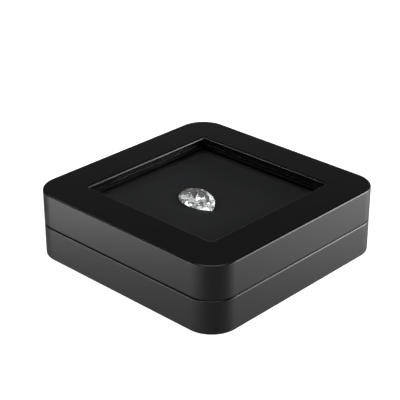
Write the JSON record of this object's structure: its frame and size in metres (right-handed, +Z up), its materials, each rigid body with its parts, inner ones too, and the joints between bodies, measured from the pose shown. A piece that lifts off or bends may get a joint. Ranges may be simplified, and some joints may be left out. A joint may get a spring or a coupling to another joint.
{
  "type": "gemstone display box",
  "caption": "Square black two-part display box with a glazed lift-off lid, magnets, a padded insert and a pear-cut stone.",
  "frame": {"origin": "middle of the underside, on the surface that the box stands on", "axes": "+Z up through the lid; X and Y along the box's sides, with -Y the front left side and +X the front right side of the picture"},
  "size_m": [0.07, 0.07, 0.0203],
  "materials": {
    "lacquer": "fibreboard under satin black lacquer",
    "window_glass": "clear polished float glass",
    "retainer": "matt black moulded frame",
    "magnet": "nickel-plated magnet",
    "board": "grey board",
    "foam": "soft black foam",
    "pad_cover": "fine matt black cloth",
    "stone": "colourless, polished facets"
  },
  "bodies": {
    "base": {"base_tray": "lacquer", "base_magnet_front_right": "magnet", "base_magnet_back_right": "magnet", "base_magnet_back_left": "magnet", "base_magnet_front_left": "magnet", "pad_board": "board", "pad_foam": "foam", "pad_cover": "pad_cover", "pear_cut_stone": "stone"},
    "lid": {"lid_frame": "lacquer", "window_glass": "window_glass", "glass_retainer": "retainer", "lid_magnet_front_right": "magnet", "lid_magnet_back_right": "magnet", "lid_magnet_back_left": "magnet", "lid_magnet_front_left": "magnet"}
  },
  "joints": [
    {"name": "lid_lift", "type": "slide", "parent": "base", "child": "lid", "axis": [0, 0, 1], "range_m": [0, 0.04]}
  ]
}
